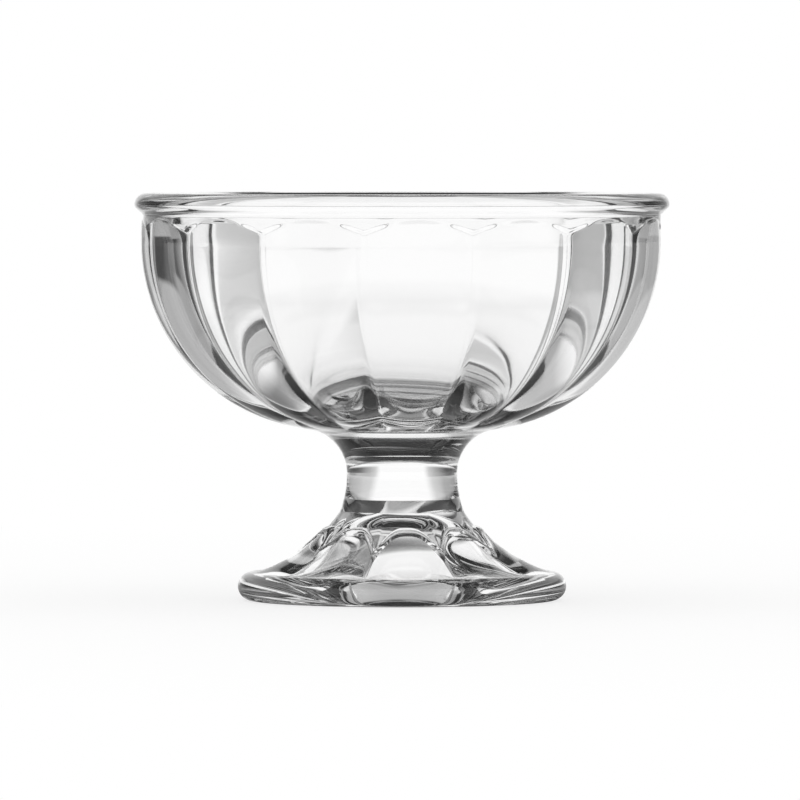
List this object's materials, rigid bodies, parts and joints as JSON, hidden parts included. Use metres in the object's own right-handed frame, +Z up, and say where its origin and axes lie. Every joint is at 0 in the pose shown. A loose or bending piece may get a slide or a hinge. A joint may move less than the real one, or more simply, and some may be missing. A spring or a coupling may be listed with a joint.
{
  "type": "footed dessert dish",
  "caption": "Low footed dessert dish of clear pressed glass, with a lobed bowl, a rolled rim, a short waisted stem and a flared, lobed foot that is hollow underneath.",
  "frame": {"origin": "middle of the circle that the foot rests on", "axes": "+Z up along the dish's axis, front towards -Y"},
  "size_m": [0.092, 0.092, 0.07],
  "materials": {
    "bowl_glass": "clear polished",
    "stem_glass": "clear polished",
    "foot_glass": "clear polished"
  },
  "bodies": {
    "root": {"bowl": "bowl_glass", "stem": "stem_glass", "foot": "foot_glass"}
  },
  "joints": []
}
